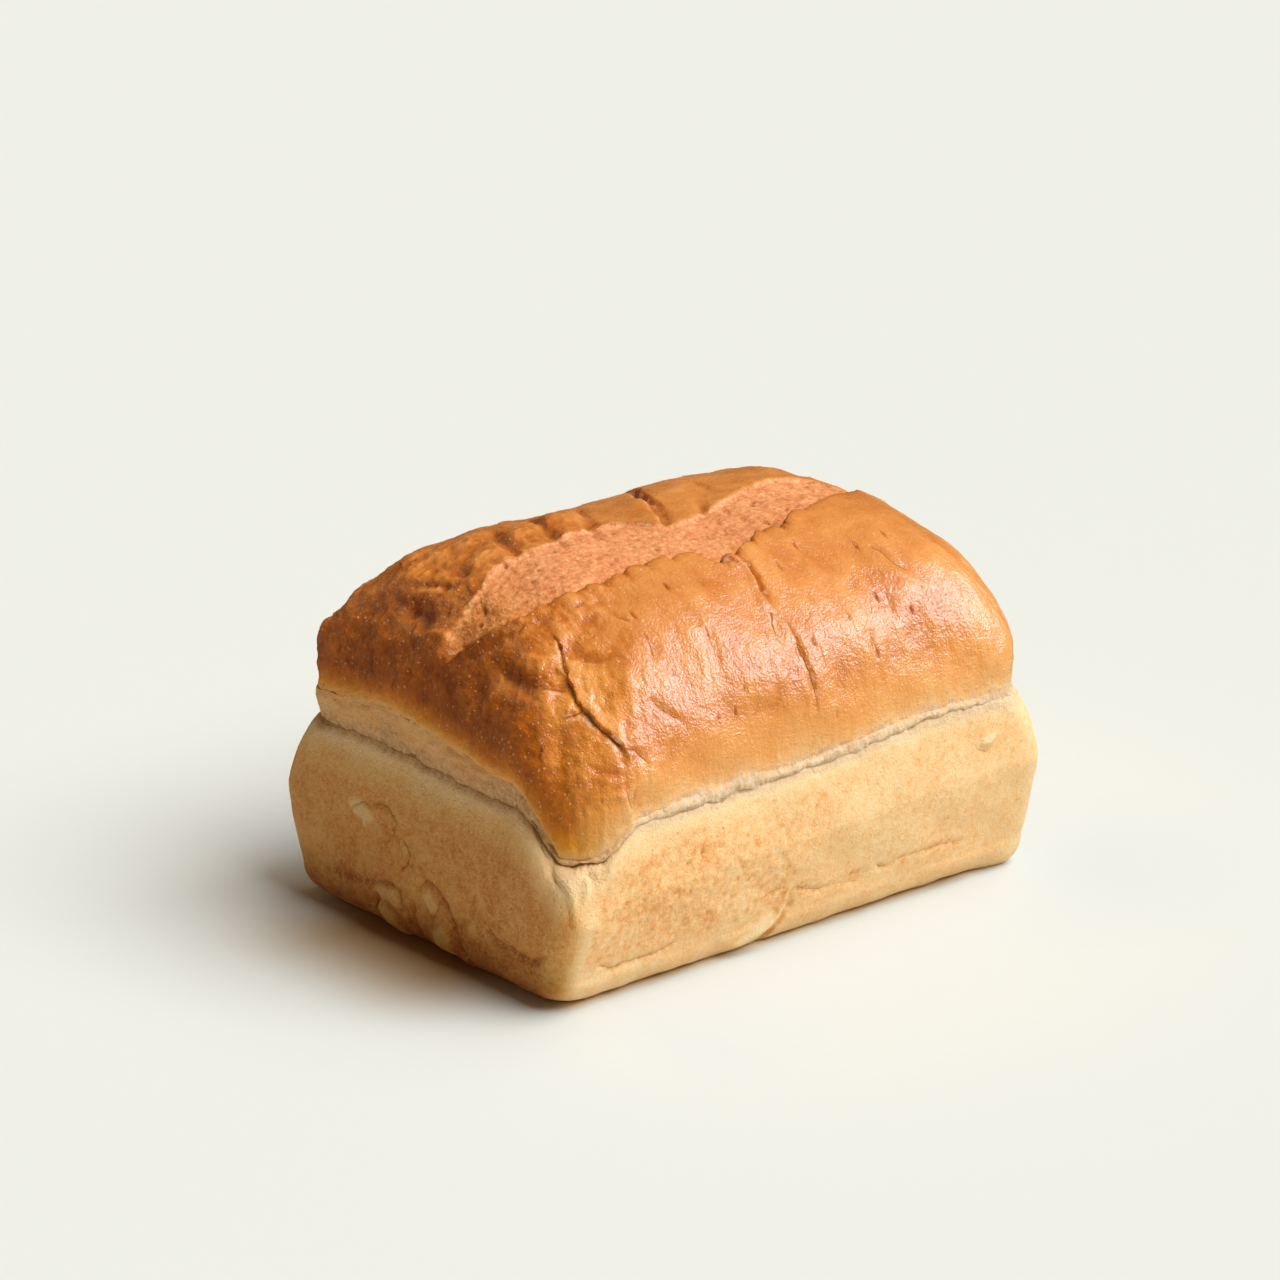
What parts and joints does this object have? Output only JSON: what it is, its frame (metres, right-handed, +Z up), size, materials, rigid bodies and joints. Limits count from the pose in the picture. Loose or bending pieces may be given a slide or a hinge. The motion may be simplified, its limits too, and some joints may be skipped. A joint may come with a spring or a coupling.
{
  "type": "tin loaf",
  "caption": "Loaf of white bread baked in a tin: flat pale walls, a torn pale band over the rim and a browned dome cut lengthwise along its top.",
  "frame": {"origin": "middle of the base, on the surface the loaf stands on", "axes": "+X along the loaf, -Y towards the front, +Z up"},
  "size_m": [0.1507, 0.1107, 0.0919],
  "materials": {
    "crust": "browned bread crust, softly glossy on the dome, matt and pale on the walls"
  },
  "bodies": {
    "root": {"loaf": "crust"}
  },
  "joints": []
}
